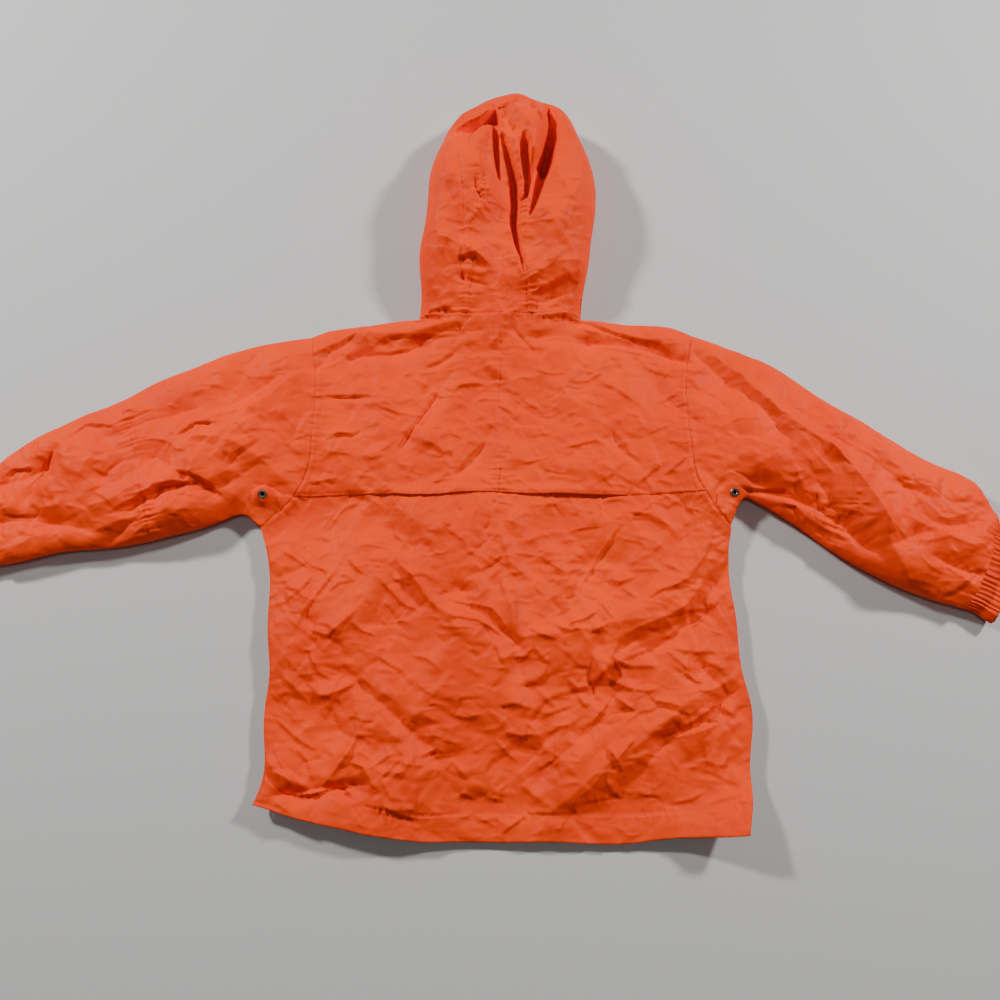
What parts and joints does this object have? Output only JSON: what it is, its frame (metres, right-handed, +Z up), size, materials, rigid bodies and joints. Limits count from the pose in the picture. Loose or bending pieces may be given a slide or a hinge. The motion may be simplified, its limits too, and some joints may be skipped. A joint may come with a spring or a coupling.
{
  "type": "anorak",
  "caption": "Hooded pullover anorak laid flat with its back up, sleeves out, with a vented back yoke, gathered elastic cuffs and metal eyelets at the underarms.",
  "frame": {"origin": "on the flat underside of the front panel, at mount rest, on the body's centre line", "axes": "+X to the wearer's right along the widest reach of the sleeves, +Y from the hem to the hood, +Z up from the surface it lies on"},
  "size_m": [1.155, 0.8555, 0.0791],
  "materials": {
    "shell_cloth": "matte crumpled nylon, bright orange",
    "eyelet_metal": "darkened, satin"
  },
  "bodies": {
    "root": {"front_body": "shell_cloth", "back_lower": "shell_cloth", "yoke_left": "shell_cloth", "yoke_right": "shell_cloth", "sleeve_left_upper": "shell_cloth", "sleeve_left_lower": "shell_cloth", "sleeve_right_upper": "shell_cloth", "sleeve_right_lower": "shell_cloth", "cuff_left": "shell_cloth", "cuff_right": "shell_cloth", "hood_left": "shell_cloth", "hood_center": "shell_cloth", "hood_right": "shell_cloth", "eyelet_left": "eyelet_metal", "eyelet_right": "eyelet_metal"}
  },
  "joints": []
}
